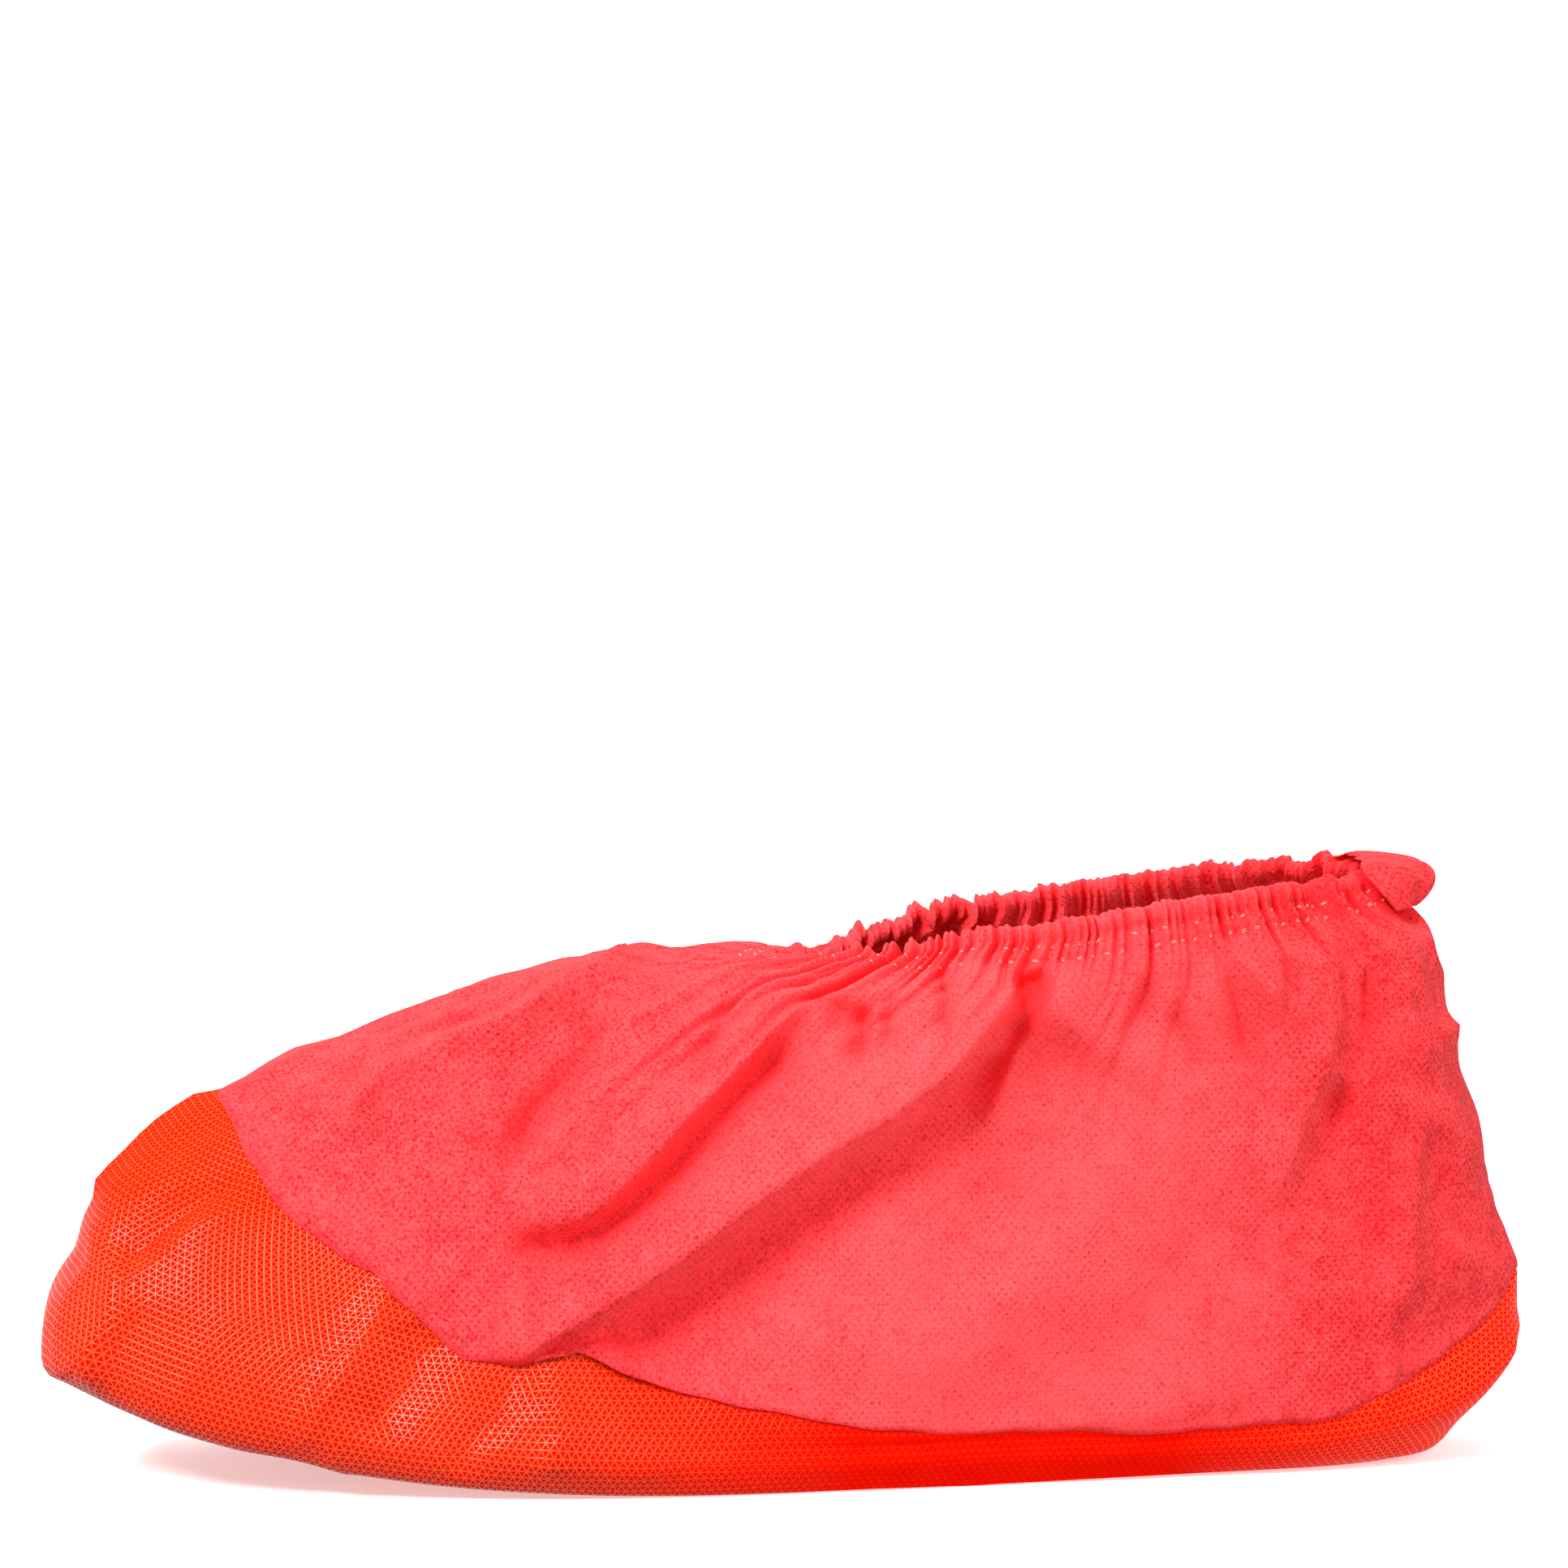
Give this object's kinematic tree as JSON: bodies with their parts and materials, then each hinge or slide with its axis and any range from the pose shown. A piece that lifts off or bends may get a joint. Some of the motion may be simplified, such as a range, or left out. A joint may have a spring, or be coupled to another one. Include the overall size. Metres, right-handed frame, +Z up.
{
  "type": "disposable boot cover",
  "caption": "Disposable overshoe: a gathered nonwoven upper with an elastic collar hem, joined to an embossed coated sole that wraps up over the toe and heel.",
  "frame": {"origin": "middle of the bounding box's base, on the floor under the sole", "axes": "+X from the toe towards the heel, +Y from the side seen in the picture towards the far side, +Z up"},
  "size_m": [0.33, 0.1112, 0.1346],
  "materials": {
    "embossed_coating": "orange-red film with a fine embossed triangle lattice, semi-gloss",
    "nonwoven_coral": "coral red spunbond nonwoven with point bonds, matte"
  },
  "bodies": {
    "root": {"sole": "embossed_coating", "upper": "nonwoven_coral", "collar_hem": "nonwoven_coral", "back_tuck": "nonwoven_coral"}
  },
  "joints": []
}
